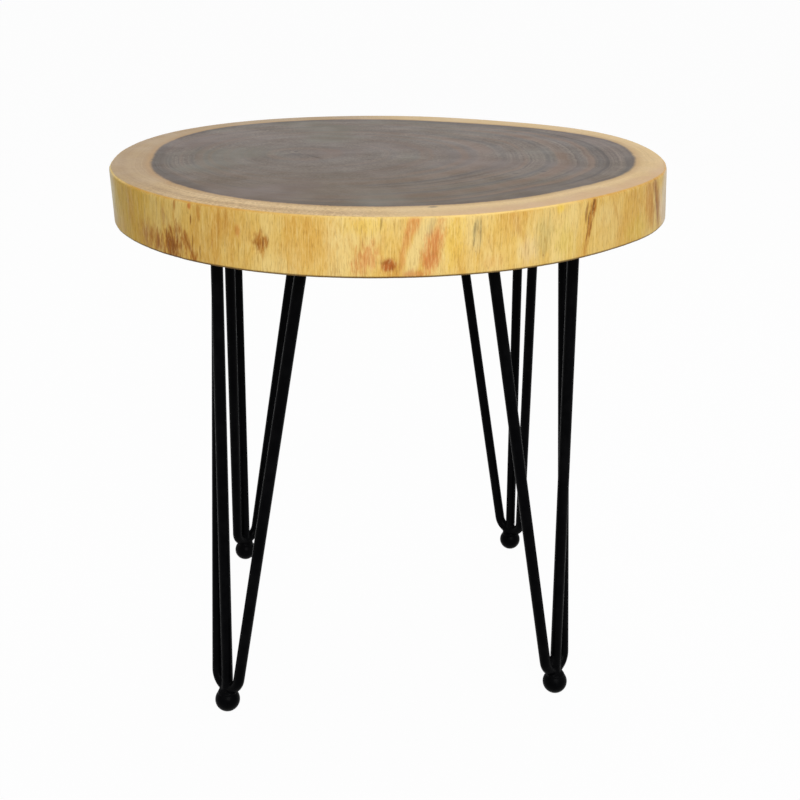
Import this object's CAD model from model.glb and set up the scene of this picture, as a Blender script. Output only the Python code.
import math

import bmesh
import bpy
import numpy as np
from mathutils import Matrix, Vector, noise


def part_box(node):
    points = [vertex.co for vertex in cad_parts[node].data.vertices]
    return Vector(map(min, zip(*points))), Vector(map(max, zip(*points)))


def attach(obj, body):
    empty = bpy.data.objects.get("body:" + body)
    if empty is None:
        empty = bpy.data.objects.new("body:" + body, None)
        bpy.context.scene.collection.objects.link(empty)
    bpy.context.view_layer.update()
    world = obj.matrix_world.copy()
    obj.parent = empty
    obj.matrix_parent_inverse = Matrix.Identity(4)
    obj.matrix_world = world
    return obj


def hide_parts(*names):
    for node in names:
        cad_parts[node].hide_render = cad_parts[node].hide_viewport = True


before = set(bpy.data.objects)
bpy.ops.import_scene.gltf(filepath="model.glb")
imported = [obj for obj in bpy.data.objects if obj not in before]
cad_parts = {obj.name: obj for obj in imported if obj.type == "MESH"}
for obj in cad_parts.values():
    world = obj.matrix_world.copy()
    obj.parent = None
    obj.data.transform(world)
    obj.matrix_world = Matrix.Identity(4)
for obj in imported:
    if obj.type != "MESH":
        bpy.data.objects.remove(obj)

# Round side table: one slice of a log on four welded rod legs. Metres, +Z up, +Y to the back.
for startName in ("Cube", "Light", "Camera"):
    startObject = bpy.data.objects.get(startName)
    if startObject:
        bpy.data.objects.remove(startObject, do_unlink=True)

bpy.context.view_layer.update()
print("frame loaded:", len(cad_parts), "nodes")


# small helpers for node trees
def newTree(name):
    material = bpy.data.materials.new(name)
    material.use_nodes = True
    material.node_tree.nodes.clear()
    return material, material.node_tree


def addNode(tree, kind, inputs=None, **settings):
    node = tree.nodes.new("ShaderNode" + kind)
    for key, value in settings.items():
        setattr(node, key, value)
    for key, value in (inputs or {}).items():
        if isinstance(value, bpy.types.NodeSocket):
            tree.links.new(value, node.inputs[key])
        else:
            node.inputs[key].default_value = value
    return node


def srgb(red, green, blue):
    linear = []
    for level in (red, green, blue):
        share = level / 255
        linear.append(share / 12.92 if share <= 0.04045 else ((share + 0.055) / 1.055) ** 2.4)
    return (*linear, 1.0)


def calc(tree, operation, *values, clamp=False):
    node = addNode(tree, "Math", dict(enumerate(values)), operation=operation, use_clamp=clamp)
    return node.outputs[0]


def noiseOf(tree, vector, scale, detail=2.0, roughness=0.5):
    inputs = {"Vector": vector, "Scale": scale, "Detail": detail, "Roughness": roughness}
    return addNode(tree, "TexNoise", inputs).outputs["Fac"]


def bandsOf(tree, place, scale, detail=2.0, roughness=0.5):
    inputs = {"W": place, "Scale": scale, "Detail": detail, "Roughness": roughness}
    return addNode(tree, "TexNoise", inputs, noise_dimensions="1D").outputs["Fac"]


def stretched(tree, vector, scale):
    return addNode(tree, "Mapping", {"Vector": vector, "Scale": scale}).outputs["Vector"]


def between(tree, value, low, high, toLow=0.0, toHigh=1.0):
    inputs = {"Value": value, "From Min": low, "From Max": high, "To Min": toLow, "To Max": toHigh}
    return addNode(tree, "MapRange", inputs, interpolation_type="SMOOTHSTEP").outputs["Result"]


def ramp(tree, factor, stops):
    node = addNode(tree, "ValToRGB", {"Fac": factor})
    elements = node.color_ramp.elements
    while len(elements) < len(stops):
        elements.new(0.5)
    for element, (place, color) in zip(elements, stops):
        element.position = place
        element.color = color
    return node.outputs["Color"]


def mixed(tree, factor, first, second, blend="MIX"):
    node = addNode(tree, "Mix", data_type="RGBA", blend_type=blend)
    for socket, value in ((node.inputs[0], factor), (node.inputs[6], first), (node.inputs[7], second)):
        if isinstance(value, bpy.types.NodeSocket):
            tree.links.new(value, socket)
        else:
            socket.default_value = value
    return node.outputs[2]


def surface(tree, inputs):
    shader = addNode(tree, "BsdfPrincipled", inputs)
    addNode(tree, "OutputMaterial", {"Surface": shader.outputs[0]})
    return shader


def linkPiece(name, mesh, replaced):
    for polygon in mesh.polygons:
        polygon.use_smooth = True
    piece = bpy.data.objects.new(name, mesh)
    bpy.context.scene.collection.objects.link(piece)
    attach(piece, "root")
    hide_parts(replaced)


# the camera, at the height and tilt of the photograph
view = {
    "place": (-0.002, -1.193, 0.6808),
    "tiltDown": 0.35243,
    "turn": -0.01151,
    "lens": 59.03,
    "sensor": 36.0,
}


def makeCamera():
    data = bpy.data.cameras.new("tableCamera")
    data.lens = view["lens"]
    data.sensor_width = view["sensor"]
    camera = bpy.data.objects.new("tableCamera", data)
    bpy.context.scene.collection.objects.link(camera)
    camera.location = view["place"]
    camera.rotation_euler = (math.pi / 2 - view["tiltDown"], 0, view["turn"])
    bpy.context.scene.camera = camera


# soft studio light, a pale floor and a white surround
studio = {
    "surround": 0.36,
    "surroundColor": srgb(250, 251, 255),
    "keyPower": 39.5,
    "keyPlace": (0.45, -2.1, 1.45),
    "keySize": 1.5,
    "topPower": 27.0,
    "topPlace": (0.2, 1.5, 2.6),
    "topSize": 1.8,
    "aim": (0, 0, 0.35),
    "floorColor": srgb(214, 214, 216),
    "floorWhite": 0.97,
    "floorReach": 40.0,
}


def seenDirectly(tree):
    rays = addNode(tree, "LightPath")
    direct = calc(tree, "ADD", rays.outputs["Is Camera Ray"], rays.outputs["Is Glossy Ray"])
    return calc(tree, "ADD", direct, rays.outputs["Is Transmission Ray"], clamp=True)


def makeWorld():
    world = bpy.data.worlds.new("surround")
    bpy.context.scene.world = world
    world.use_nodes = True
    tree = world.node_tree
    tree.nodes.clear()
    soft = {"Color": studio["surroundColor"], "Strength": studio["surround"]}
    softLight = addNode(tree, "Background", soft)
    whiteWall = addNode(tree, "Background", {"Color": (1, 1, 1, 1), "Strength": 1.0})
    both = addNode(tree, "MixShader", {0: seenDirectly(tree)})
    tree.links.new(softLight.outputs[0], both.inputs[1])
    tree.links.new(whiteWall.outputs[0], both.inputs[2])
    addNode(tree, "OutputWorld", {"Surface": both.outputs[0]})


def makeLamp(name, power, place, size):
    data = bpy.data.lights.new(name, "AREA")
    data.energy = power
    data.shape = "DISK"
    data.size = size
    lamp = bpy.data.objects.new(name, data)
    bpy.context.scene.collection.objects.link(lamp)
    lamp.location = place
    lamp.rotation_euler = (Vector(studio["aim"]) - Vector(place)).to_track_quat("-Z", "Y").to_euler()


def makeFloor():
    bm = bmesh.new()
    bmesh.ops.create_grid(bm, x_segments=2, y_segments=2, size=studio["floorReach"])
    mesh = bpy.data.meshes.new("paleFloor")
    bm.to_mesh(mesh)
    bm.free()
    floor = bpy.data.objects.new("paleFloor", mesh)
    bpy.context.scene.collection.objects.link(floor)
    material, tree = newTree("palePaper")
    paper = addNode(tree, "BsdfDiffuse", {"Color": studio["floorColor"]})
    glow = addNode(tree, "Emission", {"Color": (1, 1, 1, 1), "Strength": 1.0})
    share = calc(tree, "MULTIPLY", seenDirectly(tree), studio["floorWhite"])
    both = addNode(tree, "MixShader", {0: share})
    tree.links.new(paper.outputs[0], both.inputs[1])
    tree.links.new(glow.outputs[0], both.inputs[2])
    addNode(tree, "OutputMaterial", {"Surface": both.outputs[0]})
    mesh.materials.append(material)


makeCamera()
makeWorld()
makeLamp("keyLamp", studio["keyPower"], studio["keyPlace"], studio["keySize"])
makeLamp("topLamp", studio["topPower"], studio["topPlace"], studio["topSize"])
makeFloor()
bpy.context.scene.view_settings.view_transform = "Standard"
print("camera, lamps and floor made")


# the slice of log; its skin lies inset from the solid, and moves between proudest and deepest
# about that line
logSlice = {
    "node": "tabletop_slab",
    "spokes": 900,
    "pith": (-0.087, 0.012),
    "meanRadius": 0.254,
    "outlineWaves": 14,
    "topRounding": 0.003,
    "underRounding": 0.002,
    "topSteps": 6,
    "underSteps": 4,
    "sideRows": 30,
    "pithRings": 10,
    "pithReach": 0.16,
    "outerRings": 15,
    "underRings": 8,
    "inset": 0.0004,
    "proudest": 0.00036,
    "deepest": 0.0016,
    "skinWander": 0.0006,
    "wanderScale": (14, 14, 9),
    "skinFlutes": 0.00022,
    "fluteScale": (240, 240, 18),
    "levelGap": 2e-5,
    "leastRadius": 0.2,
}

# the heartwood's reach from the middle, as shares of the mean radius, from +X round by the back
heartShares = [
    0.882, 0.912, 0.882, 0.858, 0.897, 0.942, 0.952, 0.89,
    0.834, 0.838, 0.858, 0.878, 0.876, 0.862, 0.842, 0.868,
]

woodTones = {
    "stain": srgb(160, 92, 24),
    "darkStain": srgb(124, 66, 14),
    "softStain": srgb(188, 130, 50),
    "knot": srgb(172, 92, 38),
    "red": srgb(192, 100, 48),
    "paleRed": srgb(206, 134, 72),
    "tan": srgb(192, 142, 66),
    "amber": srgb(190, 126, 46),
    "gold": srgb(206, 152, 62),
    "olive": srgb(200, 162, 58),
    "bright": srgb(232, 194, 78),
    "yellow": srgb(214, 184, 84),
    "cream": srgb(228, 202, 134),
    "grey": srgb(178, 158, 112),
    "slate": srgb(128, 114, 76),
    "mauve": srgb(164, 112, 62),
    "paleGrey": srgb(226, 210, 182),
    "paleGreen": srgb(248, 238, 200),
    "palePink": srgb(226, 200, 172),
    "greenGrey": srgb(192, 170, 102),
    "split": srgb(84, 50, 22),
    "ink": srgb(44, 41, 42),
}

# broad tints on the peeled side, under its grain: turn from the front in degrees (right is
# positive), height in mm, half width and half height in mm, lean of the top to the right in
# degrees, tone, strength, raggedness
sideTints = [
    (-82, 456, 66, 36, 0, "paleGreen", 0.9, 0.2),
    (-73, 440, 20, 10, 0, "palePink", 0.6, 0.5),
    (-66, 462, 13, 20, 0, "yellow", 0.4, 0.5),
    (-60, 456, 15, 26, 0, "olive", 0.4, 0.5),
    (45, 456, 22, 24, 0, "cream", 0.3, 0.5),
    (55, 456, 29, 28, 0, "gold", 0.14, 0.5),
    (60.5, 460, 11, 24, -14, "amber", 0.7, 0.6),
    (76.5, 456, 38, 34, 0, "paleGrey", 0.9, 0.2),
    (67.6, 452, 6, 15, -16, "palePink", 0.5, 0.5),
    (55, 442, 20, 12, 0, "yellow", 0.55, 0.7),
    (52.5, 472, 9, 5, 0, "amber", 0.3, 0.7),
    (70, 442, 12, 10, 0, "palePink", 0.4, 0.5),
    (43.6, 462, 8, 10, -20, "cream", 0.45, 0.4),
    (27, 467, 19, 13, 0, "cream", 0.3, 0.6),
    (25, 446, 11, 12, 0, "palePink", 0.3, 0.7),
    (28, 455, 10, 19, 0, "greenGrey", 0.65, 0.8),
    (33, 447, 12, 16, 0, "yellow", 0.65, 0.8),
    (22, 468, 5, 12, -24, "paleRed", 0.2, 0.6),
    (18, 440, 9, 7, 0, "paleRed", 0.25, 0.8),
    (11, 460, 9, 22, 6, "bright", 0.55, 0.5),
    (12.5, 452, 12, 22, 0, "gold", 0.2, 0.6),
    (-4, 471, 18, 8, 0, "bright", 0.5, 0.8),
    (-13, 455, 24, 28, 0, "gold", 0.5, 0.6),
    (-6.3, 460, 3.4, 10, 12, "cream", 0.45, 0.5),
    (5.0, 456, 6.4, 26, 21, "cream", 0.8, 0.3),
    (4.0, 472, 4.6, 9, 24, "paleRed", 0.75, 0.4),
    (3.0, 461, 3.6, 10, 16, "paleRed", 0.6, 0.5),
    (2.2, 446, 2.2, 12, 4, "paleRed", 0.55, 0.5),
    (4.3, 434.5, 10.5, 4, 0, "red", 0.6, 0.7),
    (7.2, 453, 7.6, 23, 14, "paleRed", 0.9, 0.5),
    (7.1, 450, 3.8, 15, 14, "red", 0.3, 0.6),
    (14.9, 463, 4.2, 12.5, 0, "grey", 0.5, 0.4),
    (-3.7, 446, 9, 14, 24, "paleRed", 0.85, 0.9),
    (-5.2, 439, 4, 6, 14, "red", 0.3, 0.9),
    (-21.6, 455.5, 8, 9, 0, "softStain", 0.5, 0.8),
    (-41.4, 441, 17, 16, 0, "softStain", 0.85, 0.8),
    (-46.2, 441, 11, 11, 0, "softStain", 0.7, 0.8),
    (-50.4, 443, 14, 13, 0, "softStain", 0.75, 0.9),
    (-57, 462, 9, 18, 0, "amber", 0.35, 0.8),
    (-104, 447, 16, 20, 0, "gold", 0.5, 0.6),
    (-139, 456, 20, 24, 0, "cream", 0.4, 0.5),
    (-163, 450, 9, 20, 10, "softStain", 0.5, 0.7),
    (168, 450, 8.5, 10, 0, "softStain", 0.55, 0.6),
    (151, 460, 11, 18, 0, "greenGrey", 0.45, 0.8),
    (137, 452, 6, 23, 16, "paleRed", 0.65, 0.5),
    (113, 456, 24, 25, 0, "gold", 0.5, 0.5),
]

# knots, checks and stains over the grain, each with how deep it is cut in mm at the end
sideMarks = [
    (46.9, 464, 1.5, 13, -24, "tan", 0.5, 0.4, 0),
    (22.8, 461, 3, 10, -26, "tan", 0.3, 0.5, 0),
    (7, 471, 3.4, 8, 16, "grey", 0.45, 0.5, 0),
    (14.9, 456, 2.4, 8, 0, "cream", 0.45, 0.4, 0),
    (14.3, 463, 0.9, 9, 4, "slate", 0.6, 0.7, 0.4),
    (15.4, 463, 0.8, 10, 0, "slate", 0.6, 0.7, 0.5),
    (14.7, 469, 2.2, 4, 0, "slate", 0.35, 0.9, 0.2),
    (31.6, 474.5, 4.4, 4.5, 0, "bright", 0.75, 0.5, 0),
    (40.1, 471, 3.6, 9, 10, "stain", 0.85, 0.7, 0.25),
    (39.3, 459, 3.4, 13, 11, "stain", 0.75, 0.8, 0.2),
    (38.4, 441, 3.0, 12, 7, "softStain", 0.6, 0.8, 0.1),
    (40.1, 471, 1.3, 8, 10, "split", 0.65, 0.6, 0.6),
    (39.0, 462, 1.2, 8, 8, "split", 0.5, 0.6, 0.4),
    (39.6, 456, 0.9, 7, 14, "darkStain", 0.6, 0.6, 0),
    (38.2, 467, 1.7, 8, 2, "darkStain", 0.7, 0.6, 0),
    (38.6, 449, 0.9, 6, 8, "darkStain", 0.5, 0.6, 0),
    (61.6, 460, 4, 22, -14, "softStain", 0.5, 0.6, 0),
    (62.8, 474, 5, 4, 0, "stain", 0.45, 0.7, 0),
    (64.9, 458, 7.2, 28, -17, "mauve", 0.9, 0.7, 0.25),
    (64.1, 464, 2.8, 16, -17, "darkStain", 0.4, 0.8, 0.3),
    (65.9, 446, 2.0, 12, -17, "darkStain", 0.25, 0.8, 0),
    (-1.2, 473, 0.8, 6, 2, "split", 0.4, 0.4, 0.6),
    (0.1, 441.5, 5.6, 5.2, 0, "knot", 0.95, 0.3, 0.35),
    (-0.3, 443.8, 4.4, 2.2, -10, "darkStain", 0.45, 0.7, 0),
    (0.8, 441, 2.0, 4.2, 20, "darkStain", 0.4, 0.6, 0),
    (0.2, 435.5, 2.2, 3.6, 0, "softStain", 0.6, 0.8, 0),
    (-21.9, 455, 6.2, 7.6, 16, "stain", 0.75, 0.9, 0.35),
    (-22.4, 452.6, 2.6, 3.4, 30, "darkStain", 0.4, 0.9, 0),
    (-21.3, 455, 0.9, 5.5, 0, "darkStain", 0.6, 0.5, 0.5),
    (-21.2, 446, 1.4, 5, 0, "softStain", 0.6, 0.7, 0),
    (-26.3, 461, 2.4, 5, 0, "red", 0.35, 0.5, 0),
    (-28.7, 467, 2.6, 13, 0, "softStain", 0.45, 0.5, 0),
    (-30.2, 466, 1.6, 14, 0, "softStain", 0.5, 0.5, 0),
    (-34.8, 472, 3, 7, 0, "softStain", 0.75, 0.6, 0),
    (-36.9, 475, 1.8, 3, 0, "red", 0.7, 0.4, 0),
    (-36.5, 464.5, 0.9, 4, 0, "darkStain", 0.7, 0.3, 0.3),
    (-36.2, 448, 0.9, 5.5, 0, "darkStain", 0.55, 0.3, 0),
    (-34.4, 441, 0.9, 6, 0, "darkStain", 0.5, 0.3, 0),
    (-31.5, 449, 1.0, 5, 0, "stain", 0.4, 0.3, 0),
    (-39.2, 454.5, 6, 7, -28, "stain", 0.65, 0.9, 0),
    (-37.4, 444, 5, 16, -32, "stain", 0.65, 0.9, 0.2),
    (-36, 435, 3.6, 5, -20, "stain", 0.7, 0.8, 0),
    (-37.2, 444, 1.2, 8, -32, "darkStain", 0.35, 0.8, 0),
    (-41.8, 441, 13, 13, 0, "stain", 0.75, 1.0, 0.2),
    (-41.4, 440, 8.6, 9.6, 0, "darkStain", 0.75, 1.0, 0.3),
    (-42.4, 448, 1.2, 6, 4, "darkStain", 0.6, 0.8, 0),
    (-43.4, 449, 1.1, 5, 0, "darkStain", 0.6, 0.7, 0),
    (-40.2, 447, 1.4, 6, -6, "darkStain", 0.45, 0.8, 0),
    (-46.0, 441, 4.4, 8.5, 0, "stain", 0.75, 0.9, 0),
    (-46.2, 440, 1.2, 5, 0, "darkStain", 0.4, 0.7, 0),
    (-48.5, 443, 3.8, 8, 0, "stain", 0.5, 0.9, 0),
    (-50.5, 442, 4.4, 8, 0, "stain", 0.45, 1.0, 0),
    (-40.7, 474, 1.6, 5.5, 0, "stain", 0.7, 0.4, 0),
    (-41, 464, 1.3, 7, 0, "softStain", 0.5, 0.5, 0),
    (-44.3, 463, 2.6, 7.5, -6, "mauve", 0.45, 0.5, 0),
    (-78, 458, 6.5, 7.5, 0, "softStain", 0.4, 0.4, 0.25),
    (-92, 452, 2.8, 20, 8, "stain", 0.65, 0.4, 0.25),
    (-118, 462, 5.6, 15, -18, "paleRed", 0.7, 0.4, 0),
    (-127, 442, 5, 5.4, 0, "knot", 0.9, 0.3, 0.35),
    (-152, 463, 1.0, 13, 3, "split", 0.75, 0.3, 0.9),
    (168, 450, 5, 6.5, 10, "knot", 0.9, 0.35, 0.4),
    (124, 464, 1.0, 11, -2, "split", 0.75, 0.3, 0.8),
    (99, 443, 7, 10, -8, "stain", 0.75, 0.6, 0.2),
    (90, 458, 2.8, 19, 6, "softStain", 0.7, 0.4, 0.15),
]

# marks on the sanded top: x and y in mm, half sizes along and across in mm, turn in degrees,
# tone, strength, raggedness, depth
topMarks = [
    (-85, 8, 11, 9, 12, "ink", 0.42, 0.7, 0),
    (-72, 4, 16, 5, -30, "ink", 0.2, 0.8, 0),
    (-84, 25, 2, 2, 0, "ink", 0.7, 0.2, 0.3),
    (-64, -7, 12, 1.3, -52, "ink", 0.45, 0.5, 0.35),
    (-54, -30, 13, 1.1, -66, "ink", 0.25, 0.6, 0.15),
    (108, -88, 4, 2.4, 20, "ink", 0.55, 0.4, 0),
    (133, -80, 3, 3, 30, "ink", 0.6, 0.4, 0),
    (34, -224, 4, 3, 30, "ink", 0.55, 0.4, 0),
    (-3, 92, 2.4, 1.8, 0, "ink", 0.35, 0.4, 0),
]


def outlineAt(height):
    # radius against angle round the solid at one height, as a smooth sum of waves
    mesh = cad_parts[logSlice["node"]].data
    level = [vert.co for vert in mesh.vertices if abs(vert.co.z - height) < logSlice["levelGap"]]
    rim = [co for co in level if co.xy.length > logSlice["leastRadius"]]
    angles = np.array([math.atan2(co.y, co.x) for co in rim])
    radii = np.array([co.xy.length for co in rim])

    def waves(at):
        turns = [np.ones_like(at)]
        for count in range(1, logSlice["outlineWaves"] + 1):
            turns += [np.cos(count * at), np.sin(count * at)]
        return np.stack(turns, axis=-1)

    sizes = np.linalg.lstsq(waves(angles), radii, rcond=None)[0]
    return waves(np.arange(logSlice["spokes"]) * 2 * math.pi / logSlice["spokes"]) @ sizes


def heartReach(angle):
    # a smooth cubic through the heartwood's shares
    count = len(heartShares)
    place = angle / (2 * math.pi) * count
    start = math.floor(place)
    part = place - start
    a, b, c, d = [heartShares[(start + step) % count] for step in (-1, 0, 1, 2)]
    slope = c - a + part * (2 * a - 5 * b + 4 * c - d + part * (3 * (b - c) + d - a))
    return logSlice["meanRadius"] * (b + 0.5 * part * slope)


def sliceRows(top, bottom):
    # each ring of points as (kind, way, height): from the pith over the top, round the rim,
    # down the side, round the lower rim and back to the pith underneath
    rows = []
    reach = logSlice["pithReach"]
    for ring in range(1, logSlice["pithRings"] + 1):
        rows.append(("top", reach * ring / logSlice["pithRings"], top))
    for ring in range(1, logSlice["outerRings"] + 1):
        rows.append(("top", reach + (1 - reach) * ring / logSlice["outerRings"], top))
    radius = logSlice["topRounding"]
    for step in range(1, logSlice["topSteps"] + 1):
        angle = math.pi / 2 * step / logSlice["topSteps"]
        rows.append(("rim", radius * (1 - math.sin(angle)), top - radius * (1 - math.cos(angle))))
    high = top - radius
    radius = logSlice["underRounding"]
    low = bottom + radius
    for row in range(1, logSlice["sideRows"] + 1):
        rows.append(("rim", 0, high + (low - high) * row / logSlice["sideRows"]))
    for step in range(1, logSlice["underSteps"] + 1):
        angle = math.pi / 2 * step / logSlice["underSteps"]
        rows.append(("rim", radius * (1 - math.cos(angle)), low - radius * math.sin(angle)))
    for ring in range(1, logSlice["underRings"]):
        rows.append(("under", 1 - ring / logSlice["underRings"], bottom))
    return rows


# how marks lie on the wood and are cut into it; reaches are shares of a mark's own size
marking = {
    "arcRadius": 250.0,
    "widestTurn": 0.15,
    "sideFineReach": 1.6,
    "topFineReach": 2.0,
    "fineCuts": 2,
    "knotWidth": 3,
    "knotShape": 1.4,
    "knotReach": 1.6,
    "ringReach": 0.95,
    "ringWidth": 0.28,
    "domeHeight": 0.25,
    "domeWidth": 0.6,
    "ovalScale": 2,
    "tear": -1.2,
    "outerEdge": (0.38, -0.06),
    "innerEdge": (0.6, 0.36),
}


def markReach(along, up, halfWidth, halfHeight, lean):
    # how far a point lies from a mark's middle, as a share of the mark's own size
    across = along * math.cos(lean) - up * math.sin(lean)
    length = along * math.sin(lean) + up * math.cos(lean)
    return math.hypot(across / halfWidth, length / halfHeight)


def sideReach(mark, co):
    turn, height, halfWidth, halfHeight, lean = mark[:5]
    away = math.atan2(co.x, -co.y) - math.radians(turn)
    away = (away + math.pi) % (2 * math.pi) - math.pi
    if abs(away) > marking["widestTurn"]:
        return math.inf
    up = co.z * 1000 - height
    return markReach(away * marking["arcRadius"], up, halfWidth, halfHeight, math.radians(lean))


def topReach(mark, co):
    x, y, halfLength, halfWidth, turn = mark[:5]
    return markReach(co.x * 1000 - x, co.y * 1000 - y, halfLength, halfWidth, math.radians(-turn))


def isKnot(mark):
    halfWidth, halfHeight = mark[2:4]
    return halfWidth > marking["knotWidth"] and halfHeight / halfWidth < marking["knotShape"]


def cutDepth(reach, depth, knot):
    # a knot is a shallow ring round a low dome, any other mark is a rounded groove
    if reach > marking["knotReach"]:
        return 0
    if knot:
        ring = math.exp(-((reach - marking["ringReach"]) / marking["ringWidth"]) ** 2)
        return depth * (ring + marking["domeHeight"] * math.exp(-(reach / marking["domeWidth"]) ** 2))
    return depth * max(0, 1 - reach * reach) ** 1.5


def growSlice(bm, top, bottom):
    # one closed skin of rings, each point knowing its share of growth and its way into the sap
    topRadii = outlineAt(top - logSlice["topRounding"])
    underRadii = outlineAt(bottom + logSlice["underRounding"])
    spokes = logSlice["spokes"]
    inset = logSlice["inset"]
    pith = Vector((*logSlice["pith"], 0))
    angles = [2 * math.pi * spoke / spokes for spoke in range(spokes)]
    directions = [Vector((math.cos(angle), math.sin(angle), 0)) for angle in angles]
    spokeLayer = bm.verts.layers.int.new("spoke")
    growthLayer = bm.verts.layers.float.new("growth")
    skinLayer = bm.verts.layers.float.new("skin")
    sapLayer = bm.verts.layers.float.new("intoSap")

    def place(vert, kind, way, height):
        spoke = vert[spokeLayer]
        share = (height - bottom) / (top - bottom)
        if kind == "rim":
            radius = underRadii[spoke] + (topRadii[spoke] - underRadii[spoke]) * share
            vert.co = directions[spoke] * (radius - inset - way)
        else:
            radius = topRadii[spoke] - logSlice["topRounding"]
            if kind == "under":
                radius = underRadii[spoke] - logSlice["underRounding"]
            vert.co = pith + (directions[spoke] * (radius - inset) - pith) * way
        vert.co.z = height
        vert[growthLayer] = 1.0 if kind == "rim" else way
        vert[skinLayer] = 1.0 if kind == "rim" else 0.0
        vert[sapLayer] = vert.co.xy.length - heartReach(math.atan2(vert.co.y, vert.co.x))

    rows = sliceRows(top, bottom)
    bmesh.ops.create_circle(bm, cap_ends=False, radius=logSlice["meanRadius"], segments=spokes)
    bm.verts.ensure_lookup_table()
    for spoke, vert in enumerate(bm.verts):
        vert[spokeLayer] = spoke
    firstRing = list(bm.verts)
    ring = firstRing
    edges = list(bm.edges)
    for vert in ring:
        place(vert, *rows[0])
    for row in rows[1:]:
        grown = bmesh.ops.extrude_edge_only(bm, edges=edges)["geom"]
        ring = [item for item in grown if isinstance(item, bmesh.types.BMVert)]
        fresh = set(ring)
        grownEdges = [item for item in grown if isinstance(item, bmesh.types.BMEdge)]
        edges = [edge for edge in grownEdges if set(edge.verts) <= fresh]
        for vert in ring:
            place(vert, *row)
    for closing, height in ((firstRing, top), (ring, bottom)):
        bmesh.ops.pointmerge(bm, verts=closing, merge_co=(pith.x, pith.y, height))


def refineMarks(bm, top, cutSide, cutTop):
    # finer faces where a mark is cut into the wood
    skinLayer = bm.verts.layers.float["skin"]

    def isMarked(edge):
        middle = (edge.verts[0].co + edge.verts[1].co) / 2
        if all(vert[skinLayer] > 0.5 for vert in edge.verts):
            return any(sideReach(mark, middle) < marking["sideFineReach"] for mark in cutSide)
        if middle.z < top - logSlice["levelGap"]:
            return False
        return any(topReach(mark, middle) < marking["topFineReach"] for mark in cutTop)

    fine = [edge for edge in bm.edges if isMarked(edge)]
    bmesh.ops.subdivide_edges(bm, edges=fine, cuts=marking["fineCuts"], use_grid_fill=True)


def carveRelief(bm, top, cutSide, cutTop):
    # relief, always inwards, so the slice keeps its size
    skinLayer = bm.verts.layers.float["skin"]
    waves = [
        (Vector(logSlice["wanderScale"]), logSlice["skinWander"]),
        (Vector(logSlice["fluteScale"]), logSlice["skinFlutes"]),
    ]
    for vert in bm.verts:
        co = vert.co
        if vert[skinLayer] > 0.5:
            outward = Vector((co.x, co.y, 0)).normalized()
            move = sum(noise.fractal(co * scale, 1.0, 2.0, 3) * depth for scale, depth in waves)
            for mark in cutSide:
                move -= cutDepth(sideReach(mark, co), mark[-1], isKnot(mark)) / 1000
            vert.co += outward * max(-logSlice["deepest"], min(logSlice["proudest"], move))
        elif co.z > top - logSlice["levelGap"]:
            for mark in cutTop:
                co.z -= cutDepth(topReach(mark, co), mark[-1], False) / 1000


def makeLogSlice():
    low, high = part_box(logSlice["node"])
    top = high[2]
    bottom = low[2]
    cutSide = [mark for mark in sideMarks if mark[-1]]
    cutTop = [mark for mark in topMarks if mark[-1]]
    bm = bmesh.new()
    growSlice(bm, top, bottom)
    refineMarks(bm, top, cutSide, cutTop)
    bmesh.ops.recalc_face_normals(bm, faces=bm.faces)
    carveRelief(bm, top, cutSide, cutTop)
    mesh = bpy.data.meshes.new("logSlice")
    bm.to_mesh(mesh)
    bm.free()
    mesh.materials.append(makeWood())
    linkPiece("logSlice", mesh, logSlice["node"])
    print("log slice made:", len(mesh.polygons), "faces")


wood = {
    "heartDark": srgb(74, 64, 56),
    "heart": srgb(103, 92, 83),
    "heartPale": srgb(128, 116, 106),
    "heartFront": srgb(90, 73, 51),
    "heartBrown": srgb(118, 92, 72),
    "heartBlue": srgb(80, 80, 82),
    "heartOlive": srgb(101, 96, 83),
    "heartMauve": srgb(106, 91, 84),
    "heartEdge": srgb(66, 58, 54),
    "sapDark": srgb(170, 138, 94),
    "sap": srgb(200, 168, 120),
    "sapPale": srgb(220, 190, 138),
    "sapHalo": srgb(172, 136, 92),
    "sapPink": srgb(196, 158, 122),
    "sapDull": srgb(168, 143, 112),
    "skinGold": srgb(203, 150, 62),
    "skin": srgb(222, 184, 98),
    "skinPale": srgb(231, 204, 134),
    "skinLeft": srgb(216, 174, 64),
    "arris": srgb(246, 212, 132),
    "arrisGold": srgb(212, 158, 76),
    "fibre": srgb(152, 106, 46),
    "footLine": srgb(84, 60, 30),
    "under": srgb(140, 122, 98),
}


# which tone a pattern takes from low to high
woodRamps = {
    "heart": [(0.15, "heartDark"), (0.5, "heart"), (0.85, "heartPale")],
    "sap": [(0.24, "sapDark"), (0.5, "sap"), (0.76, "sapPale")],
    "side": [(0.3, "skinGold"), (0.5, "skin"), (0.68, "skinPale")],
}

# clouds, specks and fibres: how fine, in turns to the metre, or along x, y and z, then detail
# and roughness
woodNoise = {
    "sway": (8.0, 3.0),
    "flutter": (55.0, 3.0),
    "cloudy": (70.0, 3.0, 0.6),
    "speck": (520.0, 2.0, 0.6),
    "ringFade": (11.0, 2.0),
    "latePatch": (14.0, 2.0),
    "hue": (9.0, 3.0, 0.6),
    "tintPatch": (7.0, 2.0),
    "torn": ((260, 260, 90), 3.0, 0.6),
    "frayed": ((1100, 1100, 170), 2.0, 0.6),
    "patches": ((24, 24, 8), 4.0, 0.6),
    "drift": ((45, 45, 25), 2.0),
    "streaks": ((130, 130, 30), 4.0, 0.65),
    "grain": ((800, 800, 44), 2.0, 0.6),
    "fibres": ((900, 900, 150), 3.0, 0.65),
    "sheen": (30.0, 3.0),
}

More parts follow.
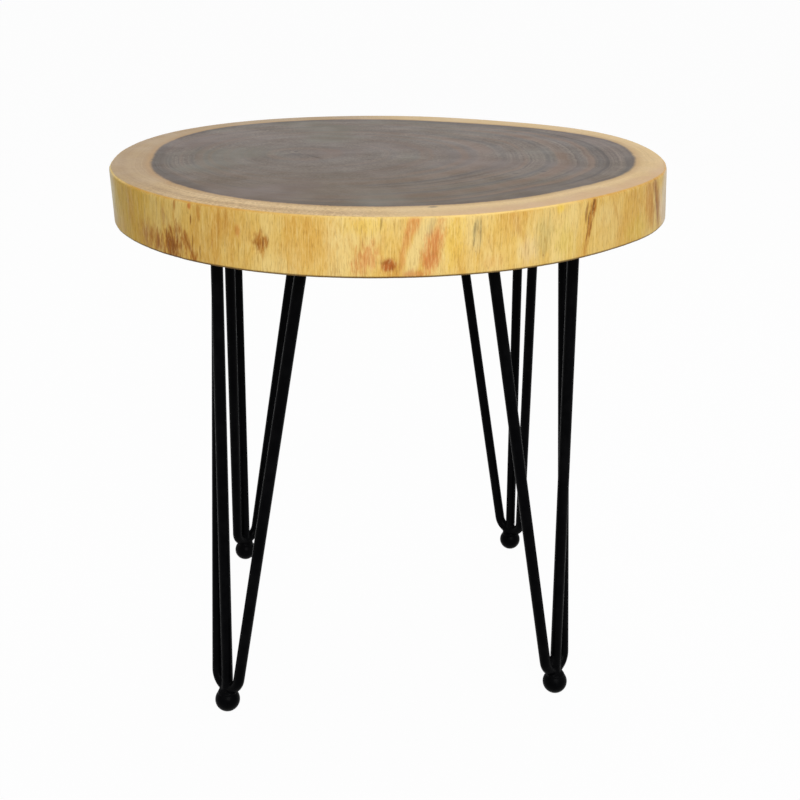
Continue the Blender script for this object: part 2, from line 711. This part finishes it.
# bands across the rings' own place, or the saw's across the underside
woodBands = {
    "broad": (15.0, 2.0),
    "medium": (58.0, 3.0, 0.6),
    "fine": (150.0, 3.0, 0.7),
    "late": (64.0, 3.0, 0.65),
    "tint": (19.0, 1.0),
    "saw": (260.0, 2.0, 0.6),
}

# where each look comes in: the values that it starts and ends at, then its share at each;
# places are in metres, turns in radians from the front, right being positive
woodFades = {
    "ringFade": (0.35, 0.65, 0.3, 1.0),
    "outerRings": (0.35, 0.8, 0.15, 1.0),
    "heartFront": (0.03, -0.2, 0.0, 0.7),
    "late": (0.56, 0.66),
    "lateFront": (0.04, -0.14, 0.1, 0.85),
    "latePatch": (0.38, 0.58),
    "olive": (0.5, 0.68, 0.0, 0.7),
    "mauve": (0.5, 0.32, 0.0, 0.7),
    "tintPatch": (0.35, 0.6),
    "tintRight": (-0.05, 0.17, 0.35, 1.0),
    "heartBrown": (0.5, 0.64, 0.0, 0.6),
    "heartBlue": (0.48, 0.34, 0.0, 0.35),
    "darkRing": (0.008, 0.002),
    "darkRingRight": (0.1, 0.16, 0.0, 0.85),
    "sapDull": (-0.1, 0.2, 0.0, 0.8),
    "sapPale": (-0.05, 0.03, 0.0, 0.65),
    "pinkRim": (0.01, 0.024),
    "pinkRight": (0.26, 0.32),
    "pinkFront": (0.03, -0.04, 0.0, 0.6),
    "sapHalo": (0.009, 0.001, 0.0, 0.6),
    "heartEdge": (-0.013, -0.003, 0.0, 0.5),
    "sapEdge": (-0.0022, 0.0018),
    "facingDown": (0.001, 0.0003),
    "saw": (0.5, 0.75, 0.0, 0.35),
    "skinLeft": (-0.55, -1.0, 0.0, 0.8),
    "streaksDark": (0.5, 0.75, 0.0, 0.5),
    "streaksPale": (0.5, 0.25, 0.0, 0.46),
    "grainDark": (0.52, 0.75, 0.0, 0.36),
    "grainPale": (0.48, 0.25, 0.0, 0.5),
    "fibresDark": (0.5, 0.72, 0.0, 0.4),
    "fibresPale": (0.5, 0.3, 0.0, 0.32),
    "wornHeight": (0.0021, 0.0007),
    "wornStreaks": (0.35, 0.6, 0.4, 0.9),
    "wornTurn": (0.08, 0.24, 0.45, 1.0),
    "arrisFront": (-0.45, -0.1),
    "arrisFarLeft": (-0.95, -1.1),
    "arrisRight": (0.5, 0.75),
    "footLine": (0.0023, 0.0011, 0.0, 0.85),
    "overRim": (0.00005, 0.0007),
    "onSkin": (0.3, 0.9),
    "sheen": (0.3, 0.7, 0.44, 0.56),
}

# how much one pattern adds to another, and the few fixed shifts
woodShares = {
    "ringSway": 0.06,
    "ringFlutter": 0.012,
    "broad": 0.45,
    "medium": 1.0,
    "fine": 1.1,
    "cloudy": 0.3,
    "speck": 1.2,
    "lateShift": 1.9,
    "tintShift": 3.7,
    "darkRingPlace": 0.853,
    "leftward": -1.2,
    "pinkClouds": 0.03,
    "edgeFlutter": 0.0025,
    "edgeSpeck": 0.0016,
    "edgeSway": 0.04,
    "frayed": 0.9,
    "sawSway": 0.01,
    "underDull": 0.4,
    "drift": 5.0,
    "leastWornTurn": -0.05,
    "bumpTone": 0.25,
    "underRough": 0.3,
}

woodFinish = {
    "bumpStrength": 0.3,
    "bumpDepth": 0.0006,
    "specular": 0.1,
}


def noised(tree, place, name):
    scale, *look = woodNoise[name]
    if isinstance(scale, tuple):
        return noiseOf(tree, stretched(tree, place, scale), 1.0, *look)
    return noiseOf(tree, place, scale, *look)


def banded(tree, place, name):
    return bandsOf(tree, place, *woodBands[name])


def centred(tree, value):
    return calc(tree, "SUBTRACT", value, 0.5)


def faded(tree, value, name):
    return between(tree, value, *woodFades[name])


def added(tree, value, name, base):
    return calc(tree, "MULTIPLY_ADD", value, woodShares[name], base)


def toned(tree, pattern, name):
    return ramp(tree, pattern, [(place, wood[tone]) for place, tone in woodRamps[name]])


def addMarks(tree, color, plane, ragged, marks, leansUp):
    # each mark is a soft oval with torn edges, laid over the colour below it
    for mark in marks:
        x, y, halfWidth, halfHeight, lean, tone, strength, torn = mark[:8]
        oval = addNode(tree, "TexGradient", {"Vector": plane}, gradient_type="SPHERICAL")
        fit = oval.texture_mapping
        fit.vector_type = "TEXTURE"
        fit.translation = (math.radians(x) * marking["arcRadius"] if leansUp else x, y, 0)
        fit.rotation = (0, 0, math.radians(-lean if leansUp else lean))
        fit.scale = (halfWidth * marking["ovalScale"], halfHeight * marking["ovalScale"], 1)
        near = calc(tree, "MULTIPLY_ADD", ragged, marking["tear"] * torn, oval.outputs["Fac"])
        outer, inner = [edge + tear * torn for edge, tear in (marking["outerEdge"], marking["innerEdge"])]
        color = mixed(tree, between(tree, near, outer, inner, 0.0, strength), color, woodTones[tone])
    return color


def woodPlaces(tree):
    # where a point lies in the slice, from its place and from the mesh's own layers
    low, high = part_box(logSlice["node"])
    spot = {"object": addNode(tree, "TexCoord").outputs["Object"]}
    for name in ("growth", "skin", "intoSap"):
        spot[name] = addNode(tree, "Attribute", attribute_name=name).outputs["Fac"]
    parts = addNode(tree, "SeparateXYZ", {0: spot["object"]}).outputs
    spot["east"] = parts["X"]
    spot["north"] = parts["Y"]
    spot["belowTop"] = calc(tree, "SUBTRACT", high[2], parts["Z"])
    spot["aboveUnder"] = calc(tree, "SUBTRACT", parts["Z"], low[2])
    spot["turn"] = calc(tree, "ARCTAN2", parts["X"], calc(tree, "MULTIPLY", parts["Y"], -1.0))
    return spot


def ringTones(tree, spot):
    # rings follow the rim's own shape, shrunk towards the pith, and wander a little
    rings = {}
    for name in ("sway", "flutter", "cloudy", "speck"):
        rings[name] = centred(tree, noised(tree, spot["object"], name))
    swayed = added(tree, rings["sway"], "ringSway", spot["growth"])
    rings["place"] = added(tree, rings["flutter"], "ringFlutter", swayed)
    fade = faded(tree, noised(tree, spot["object"], "ringFade"), "ringFade")
    fade = calc(tree, "MULTIPLY", fade, faded(tree, spot["growth"], "outerRings"))
    tone = added(tree, centred(tree, banded(tree, rings["place"], "broad")), "broad", 0.5)
    for name in ("medium", "fine"):
        bands = centred(tree, banded(tree, rings["place"], name))
        tone = added(tree, calc(tree, "MULTIPLY", bands, fade), name, tone)
    for name in ("cloudy", "speck"):
        tone = added(tree, rings[name], name, tone)
    rings["tone"] = tone
    return rings


def heartColor(tree, spot, rings):
    heart = toned(tree, rings["tone"], "heart")
    heart = mixed(tree, faded(tree, spot["north"], "heartFront"), heart, wood["heartFront"])

    # dark late wood, in patches and mostly in front
    late = banded(tree, calc(tree, "ADD", rings["place"], woodShares["lateShift"]), "late")
    lateShare = calc(tree, "MULTIPLY", faded(tree, late, "late"), faded(tree, spot["north"], "lateFront"))
    latePatch = faded(tree, noised(tree, spot["object"], "latePatch"), "latePatch")
    heart = mixed(tree, calc(tree, "MULTIPLY", latePatch, lateShare), heart, wood["heartEdge"])

    # olive and mauve clouds, then brown and blue bands, mostly on the right
    hue = noised(tree, spot["object"], "hue")
    heart = mixed(tree, faded(tree, hue, "olive"), heart, wood["heartOlive"])
    heart = mixed(tree, faded(tree, hue, "mauve"), heart, wood["heartMauve"])
    tint = banded(tree, calc(tree, "ADD", rings["place"], woodShares["tintShift"]), "tint")
    tintPatch = faded(tree, noised(tree, spot["object"], "tintPatch"), "tintPatch")
    tintPatch = calc(tree, "MULTIPLY", tintPatch, faded(tree, spot["east"], "tintRight"))
    for name in ("heartBrown", "heartBlue"):
        share = calc(tree, "MULTIPLY", faded(tree, tint, name), tintPatch)
        heart = mixed(tree, share, heart, wood[name])

    # a thin dark ring shows on the right, near the heartwood's edge
    fromRing = calc(tree, "SUBTRACT", rings["place"], woodShares["darkRingPlace"])
    darkRing = faded(tree, calc(tree, "ABSOLUTE", fromRing), "darkRing")
    darkRing = calc(tree, "MULTIPLY", darkRing, faded(tree, spot["east"], "darkRingRight"))
    return mixed(tree, darkRing, heart, wood["heartEdge"])


def cutFaceColor(tree, spot, rings):
    # duller sapwood to the left and behind, paler to the right, pinker at the front right rim
    sap = toned(tree, rings["tone"], "sap")
    leftAndBack = added(tree, spot["east"], "leftward", spot["north"])
    sap = mixed(tree, faded(tree, leftAndBack, "sapDull"), sap, wood["sapDull"])
    sap = mixed(tree, faded(tree, spot["east"], "sapPale"), sap, wood["sapPale"])
    atRim = faded(tree, added(tree, rings["cloudy"], "pinkClouds", spot["intoSap"]), "pinkRim")
    onRight = faded(tree, calc(tree, "SUBTRACT", spot["east"], spot["north"]), "pinkRight")
    pinkShare = calc(tree, "MULTIPLY", atRim, onRight)
    pinkShare = calc(tree, "MULTIPLY", faded(tree, spot["north"], "pinkFront"), pinkShare)
    sap = mixed(tree, pinkShare, sap, wood["sapPink"])

    # the heartwood ends in a soft dark edge and the sapwood begins with a brown halo
    intoSap = added(tree, rings["flutter"], "edgeFlutter", spot["intoSap"])
    intoSap = added(tree, rings["speck"], "edgeSpeck", intoSap)
    sap = mixed(tree, faded(tree, intoSap, "sapHalo"), sap, wood["sapHalo"])
    edgeBand = faded(tree, added(tree, rings["sway"], "edgeSway", intoSap), "heartEdge")
    heart = mixed(tree, edgeBand, heartColor(tree, spot, rings), wood["heartEdge"])
    return mixed(tree, faded(tree, intoSap, "sapEdge"), heart, sap)


def undersideColor(tree, spot, rings, cutFace):
    # the underside is sawn and left duller
    saw = banded(tree, added(tree, rings["sway"], "sawSway", spot["east"]), "saw")
    under = mixed(tree, woodShares["underDull"], cutFace, wood["under"])
    return mixed(tree, faded(tree, saw, "saw"), under, wood["heartEdge"])


def grained(tree, color, patterns, name, dark):
    # darker where a pattern is high and paler where it is low
    color = mixed(tree, faded(tree, patterns[name], name + "Dark"), color, wood[dark])
    return mixed(tree, faded(tree, patterns[name], name + "Pale"), color, wood["skinPale"])


def sideColor(tree, spot, plane, torn, patterns):
    # the peeled side: pale yellow with upright fibres, more olive on the left
    side = toned(tree, noised(tree, spot["object"], "patches"), "side")
    side = mixed(tree, faded(tree, spot["turn"], "skinLeft"), side, wood["skinLeft"])
    side = addMarks(tree, side, plane, torn, sideTints, True)
    side = grained(tree, side, patterns, "streaks", "skinGold")
    side = grained(tree, side, patterns, "grain", "fibre")
    side = addMarks(tree, side, plane, torn, sideMarks, True)
    return grained(tree, side, patterns, "fibres", "fibre")


def rimColor(tree, spot, side, streaks):
    # the upper rim is worn pale, least in front, and a dark line runs along the side's foot
    worn = faded(tree, streaks, "wornStreaks")
    worn = calc(tree, "MULTIPLY", faded(tree, spot["belowTop"], "wornHeight"), worn)
    fromFront = calc(tree, "ABSOLUTE", calc(tree, "SUBTRACT", spot["turn"], woodShares["leastWornTurn"]))
    worn = calc(tree, "MULTIPLY", faded(tree, fromFront, "wornTurn"), worn)
    arris = mixed(tree, faded(tree, spot["turn"], "arrisFront"), wood["arrisGold"], wood["arris"])
    arris = mixed(tree, faded(tree, spot["turn"], "arrisFarLeft"), arris, wood["arris"])
    arris = mixed(tree, faded(tree, spot["turn"], "arrisRight"), arris, wood["arrisGold"])
    side = mixed(tree, worn, side, arris)
    return mixed(tree, faded(tree, spot["aboveUnder"], "footLine"), side, wood["footLine"])


def makeWood():
    material, tree = newTree("logWood")
    spot = woodPlaces(tree)
    rings = ringTones(tree, spot)
    patterns = {name: noised(tree, spot["object"], name) for name in ("streaks", "grain", "fibres")}
    torn = centred(tree, noised(tree, spot["object"], "torn"))
    torn = added(tree, centred(tree, noised(tree, spot["object"], "frayed")), "frayed", torn)
    inMillimetres = stretched(tree, spot["object"], (1000, 1000, 1000))
    flat = addNode(tree, "SeparateXYZ", {0: inMillimetres}).outputs

    # the top and the underside
    topPlane = addNode(tree, "CombineXYZ", {0: flat["X"], 1: flat["Y"]}).outputs[0]
    cutFace = addMarks(tree, cutFaceColor(tree, spot, rings), topPlane, torn, topMarks, False)
    facingDown = faded(tree, spot["aboveUnder"], "facingDown")
    cutFace = mixed(tree, facingDown, cutFace, undersideColor(tree, spot, rings, cutFace))

    # the side, its marks laid out along an arc and drifting a little
    drift = centred(tree, noised(tree, spot["object"], "drift"))
    arc = added(tree, drift, "drift", calc(tree, "MULTIPLY", spot["turn"], marking["arcRadius"]))
    sidePlane = addNode(tree, "CombineXYZ", {0: arc, 1: flat["Z"]}).outputs[0]
    side = sideColor(tree, spot, sidePlane, torn, patterns)
    side = rimColor(tree, spot, side, patterns["streaks"])
    onSide = faded(tree, spot["skin"], "onSkin")
    onSide = calc(tree, "MULTIPLY", onSide, faded(tree, spot["belowTop"], "overRim"))

    height = calc(tree, "MULTIPLY", calc(tree, "ADD", patterns["fibres"], patterns["grain"]), spot["skin"])
    bump = addNode(tree, "Bump", {
        "Height": added(tree, rings["tone"], "bumpTone", height),
        "Strength": woodFinish["bumpStrength"],
        "Distance": woodFinish["bumpDepth"],
    })
    sheen = faded(tree, noised(tree, spot["object"], "sheen"), "sheen")
    surface(tree, {
        "Base Color": mixed(tree, onSide, cutFace, side),
        "Roughness": added(tree, facingDown, "underRough", sheen),
        "Normal": bump.outputs["Normal"],
        "Specular IOR Level": woodFinish["specular"],
    })
    return material


makeLogSlice()


# black powder coat on the legs
coat = {
    "black": srgb(2, 2, 3),
    "dust": srgb(7, 7, 8),
    "peel": (900.0, 2.0, 0.5),
    "peelDepth": 0.0004,
    "wear": (55.0, 3.0, 0.6),
    "dusty": (0.4, 0.75),
    "dulled": (0.35, 0.7),
    "smoother": 0.05,
    "rougher": 0.08,
}

# each finish's roughness, the strength of its orange peel and its specular level
finishes = {
    "blackPowderCoat": (0.36, 0.15, 0.02),
    "blackScrewFinish": (0.28, 0.05, 0.15),
}


def makeCoat(name):
    roughness, peelStrength, specular = finishes[name]
    material, tree = newTree(name)
    place = addNode(tree, "TexCoord").outputs["Object"]
    orangePeel = noiseOf(tree, place, *coat["peel"])
    wear = noiseOf(tree, place, *coat["wear"])
    bump = addNode(tree, "Bump", {
        "Height": orangePeel,
        "Strength": peelStrength,
        "Distance": coat["peelDepth"],
    })
    smooth = roughness - coat["smoother"]
    rough = roughness + coat["rougher"]
    surface(tree, {
        "Base Color": mixed(tree, between(tree, wear, *coat["dusty"]), coat["black"], coat["dust"]),
        "Roughness": between(tree, wear, *coat["dulled"], smooth, rough),
        "Normal": bump.outputs["Normal"],
        "Specular IOR Level": specular,
    })
    return material


coatMaterial = makeCoat("blackPowderCoat")
screwMaterial = makeCoat("blackScrewFinish")
for nodeName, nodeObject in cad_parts.items():
    if nodeName != logSlice["node"]:
        nodeObject.data.materials[0] = screwMaterial if nodeName.endswith("_screws") else coatMaterial
print("powder coat on", len(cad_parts) - 1, "nodes")


# a filleted weld at each foot
legNames = ("front_left", "front_right", "back_right", "back_left")
weld = {
    "mergeGap": 1e-6,
    "rodEndReach": 0.012,
    "stubRadius": 0.0051,
    "stubEnd": 0.0215,
    "neckRadius": 0.0088,
    "neckFlat": 0.4,
    "neckHeight": 0.019,
    "ballCore": 0.0108,
    "ballMiddle": 0.0112,
    "segments": 24,
    "rings": 12,
    # extra weld in a crotch: how far it lies across the foot and out from it, its height,
    # its radius and how much taller than wide it is
    "webs": {"front_right": (-0.0066, -0.0012, 0.0345, 0.0031, 1.9)},
    "webSegments": 16,
    "webRings": 10,
    "cutHeight": 0.046,
    "voxel": 0.0006,
    "smoothing": 14,
    "smoothFactor": 0.5,
    "topSeam": 0.042,
    "ballSeam": 0.009,
    "lumps": 0.00018,
    "lumpScale": 380,
    "lumpsFrom": 0.014,
    "lumpsTo": 0.036,
}


def endOfRod(mesh, upper):
    # the middle of the ring of points at one end of a straight rod
    points = {tuple(round(value, 6) for value in vert.co) for vert in mesh.vertices}
    heights = [point[2] for point in points]
    edge = max(heights) if upper else min(heights)
    ring = [Vector(point) for point in points if abs(point[2] - edge) < weld["rodEndReach"]]
    return sum(ring, Vector()) / len(ring)


def trimAt(bm, height, side):
    everything = bm.verts[:] + bm.edges[:] + bm.faces[:]
    cut = bmesh.ops.bisect_plane(
        bm, geom=everything, plane_co=(0, 0, height), plane_no=(0, 0, side), clear_outer=True
    )
    rims = [item for item in cut["geom_cut"] if isinstance(item, bmesh.types.BMEdge)]
    bmesh.ops.holes_fill(bm, edges=rims, sides=0)


def addBall(bm, radius, place, tall=1, segments=weld["segments"], rings=weld["rings"]):
    ball = bmesh.ops.create_uvsphere(bm, u_segments=segments, v_segments=rings, radius=radius)["verts"]
    bmesh.ops.scale(bm, verts=ball, vec=(1, 1, tall))
    bmesh.ops.translate(bm, verts=ball, vec=place)


def weldBlock(leg):
    # the bend, the brace run on down to the ball, a neck, any web and the ball's core
    low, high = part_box(leg + "_ball_foot")
    ball = Vector(((low[0] + high[0]) / 2, (low[1] + high[1]) / 2, 0))
    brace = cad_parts[leg + "_brace_rod"].data
    foot = endOfRod(brace, False)
    axis = (endOfRod(brace, True) - foot).normalized()
    bm = bmesh.new()
    bm.from_mesh(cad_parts[leg + "_hairpin_rod"].data)
    bmesh.ops.remove_doubles(bm, verts=bm.verts, dist=weld["mergeGap"])
    trimAt(bm, weld["cutHeight"], 1)

    end = ball + Vector((0, 0, weld["stubEnd"]))
    start = foot + axis * ((weld["cutHeight"] - foot.z) / axis.z)
    stub = bmesh.ops.create_cone(
        bm, cap_ends=True, segments=weld["segments"], radius1=weld["stubRadius"],
        radius2=weld["stubRadius"], depth=(start - end).length,
    )["verts"]
    aim = (start - end).to_track_quat("Z", "Y")
    bmesh.ops.rotate(bm, verts=stub, cent=(0, 0, 0), matrix=aim.to_matrix())
    bmesh.ops.translate(bm, verts=stub, vec=(start + end) / 2)
    addBall(bm, weld["neckRadius"], ball + Vector((0, 0, weld["neckHeight"])), weld["neckFlat"])
    if leg in weld["webs"]:
        across, out, height, radius, tall = weld["webs"][leg]
        away = ball.normalized()
        spot = ball + away * out + Vector((-away.y, away.x, 0)) * across + Vector((0, 0, height))
        addBall(bm, radius, spot, tall, weld["webSegments"], weld["webRings"])
    addBall(bm, weld["ballCore"], ball + Vector((0, 0, weld["ballMiddle"])))
    bmesh.ops.recalc_face_normals(bm, faces=bm.faces)
    mesh = bpy.data.meshes.new(leg + "WeldBlock")
    bm.to_mesh(mesh)
    bm.free()
    return mesh


def makeFootWeld(leg):
    # the block melts into one skin, and is cut off inside the rods and inside the ball
    block = bpy.data.objects.new(leg + "WeldBlock", weldBlock(leg))
    bpy.context.scene.collection.objects.link(block)
    remesh = block.modifiers.new("melt", "REMESH")
    remesh.mode = "VOXEL"
    remesh.voxel_size = weld["voxel"]
    smooth = block.modifiers.new("flow", "SMOOTH")
    smooth.factor = weld["smoothFactor"]
    smooth.iterations = weld["smoothing"]
    graph = bpy.context.evaluated_depsgraph_get()
    mesh = bpy.data.meshes.new_from_object(block.evaluated_get(graph))
    bpy.data.objects.remove(block, do_unlink=True)

    bm = bmesh.new()
    bm.from_mesh(mesh)
    trimAt(bm, weld["topSeam"], 1)
    trimAt(bm, weld["ballSeam"], -1)
    bm.normal_update()
    for vert in bm.verts:
        if weld["lumpsFrom"] < vert.co.z < weld["lumpsTo"]:
            lump = noise.fractal(vert.co * weld["lumpScale"], 1.0, 2.0, 2)
            vert.co += vert.normal * lump * weld["lumps"]
    bm.to_mesh(mesh)
    bm.free()
    mesh.materials.clear()
    mesh.materials.append(coatMaterial)
    linkPiece(leg + "FootWeld", mesh, leg + "_foot_weld")


for legName in legNames:
    makeFootWeld(legName)
print("foot welds made")


# a rippled bead round the top of each rod, under the plate
bead = {
    "reach": 0.0061,
    "thickness": 0.0027,
    "drop": 0.0009,
    "sides": 14,
    "steps": 96,
    "ripples": 19,
    "rippleDepth": 0.00028,
    "wander": 0.0003,
    "wanderTurns": 2,
    "wanderStep": 90,
    "levelGap": 0.001,
    "intoPlate": 0.0004,
}


def addBead(bm, low, top):
    # a ring of weld about the axis from low to top, made upright and then leaned to it
    section = bmesh.ops.create_circle(bm, segments=bead["sides"], radius=bead["thickness"])["verts"]
    bmesh.ops.rotate(bm, verts=section, matrix=Matrix.Rotation(math.pi / 2, 3, "X"))
    bmesh.ops.translate(bm, verts=section, vec=(bead["reach"], 0, -bead["drop"]))
    edges = list(dict.fromkeys(edge for vert in section for edge in vert.link_edges))
    before = set(bm.verts) - set(section)
    bmesh.ops.spin(
        bm, geom=section + edges, cent=(0, 0, 0), axis=(0, 0, 1), angle=2 * math.pi,
        steps=bead["steps"], use_merge=True,
    )
    ring = [vert for vert in bm.verts if vert not in before]
    for vert in ring:
        angle = math.atan2(vert.co.y, vert.co.x)
        way = Vector((math.cos(angle), math.sin(angle), 0))
        middle = way * bead["reach"] - Vector((0, 0, bead["drop"]))
        ripple = abs(math.sin(angle * bead["ripples"] / 2))
        lump = noise.noise(way * bead["wanderTurns"] + Vector((0, 0, top.x * bead["wanderStep"])))
        out = (vert.co - middle).normalized()
        vert.co += out * (ripple * bead["rippleDepth"] + lump * bead["wander"])
    lean = (top - low).to_track_quat("Z", "Y").to_matrix()
    bmesh.ops.rotate(bm, verts=ring, cent=(0, 0, 0), matrix=lean)
    bmesh.ops.translate(bm, verts=ring, vec=top)


def islandsOf(bm):
    # the points of each separate solid in a mesh
    waiting = set(bm.verts)
    for start in bm.verts:
        if start not in waiting:
            continue
        waiting.remove(start)
        island = [start]
        for vert in island:
            near = {edge.other_vert(vert) for edge in vert.link_edges} & waiting
            island += near
            waiting -= near
        yield island


def middleOf(points):
    corners = [Vector([pick(co[axis] for co in points) for axis in range(3)]) for pick in (min, max)]
    return (corners[0] + corners[1]) / 2


def makePlateBeads(leg):
    # each ring of the solid gives its rod's place at the plate and its lean
    source = bmesh.new()
    source.from_mesh(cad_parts[leg + "_plate_welds"].data)
    bmesh.ops.remove_doubles(source, verts=source.verts, dist=weld["mergeGap"])
    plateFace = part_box(leg + "_plate")[0][2]
    atPlate = plateFace - bead["levelGap"]
    bm = bmesh.new()
    for island in islandsOf(source):
        low = middleOf([vert.co for vert in island if vert.co.z <= atPlate])
        top = middleOf([vert.co for vert in island if vert.co.z > atPlate])
        addBead(bm, low, top)
    source.free()
    trimAt(bm, plateFace + bead["intoPlate"], 1)
    bmesh.ops.recalc_face_normals(bm, faces=bm.faces)
    mesh = bpy.data.meshes.new(leg + "PlateBeads")
    bm.to_mesh(mesh)
    bm.free()
    mesh.materials.append(coatMaterial)
    linkPiece(leg + "PlateBeads", mesh, leg + "_plate_welds")


for legName in legNames:
    makePlateBeads(legName)
print("plate beads made")
